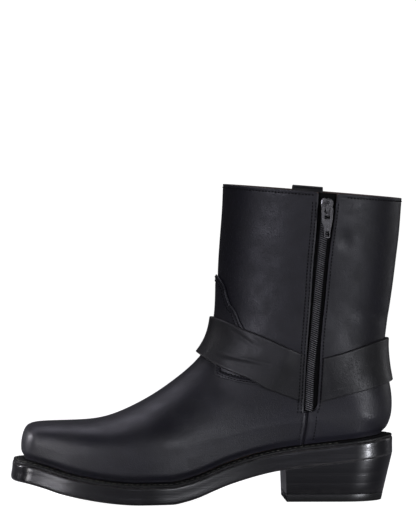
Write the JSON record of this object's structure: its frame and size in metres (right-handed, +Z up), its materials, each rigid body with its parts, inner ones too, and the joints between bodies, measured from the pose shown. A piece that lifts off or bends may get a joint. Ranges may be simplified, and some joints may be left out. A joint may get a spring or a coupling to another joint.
{
  "type": "harness boot",
  "caption": "Right ankle-high harness boot with a square toe, side zip, front and back straps, welted sole and stacked heel.",
  "frame": {"origin": "middle of the heel's resting face, on the floor", "axes": "-X to the toe, +X to the heel, -Y to the inner (medial) side with the zip, +Z up"},
  "size_m": [0.3131, 0.1114, 0.2523],
  "materials": {
    "black_leather": "smooth oiled black leather, satin",
    "strap_leather": "thick black strap leather, satin, cut edges inked black",
    "welt_leather": "black welt, satin",
    "sole_leather": "black sole leather with a waxed, polished edge",
    "heel_leather": "stacked leather, inked black and polished",
    "lift_rubber": "black rubber",
    "insole_leather": "brown insole leather, matte",
    "zip_fabric": "black woven tape",
    "zip_nylon": "black nylon coil",
    "zip_metal": "dark nickel plate, worn"
  },
  "bodies": {
    "boot": {"upper": "black_leather", "instep_overlay": "black_leather", "front_strap": "strap_leather", "back_strap": "strap_leather", "pull_loop": "strap_leather", "welt": "welt_leather", "outsole": "sole_leather", "heel_block": "heel_leather", "top_lift": "lift_rubber", "insole": "insole_leather", "zip_tape": "zip_fabric", "zip_chain": "zip_nylon", "zip_slider": "zip_metal"},
    "zip_pull": {"zip_pull": "zip_metal"}
  },
  "joints": [
    {"name": "zip_pull_hinge", "type": "hinge", "parent": "boot", "child": "zip_pull", "pos_m": [-0.00956, -0.0481, 0.23483], "axis": [-0.9976, -0.0697, 0], "range_deg": [0, 165]}
  ]
}
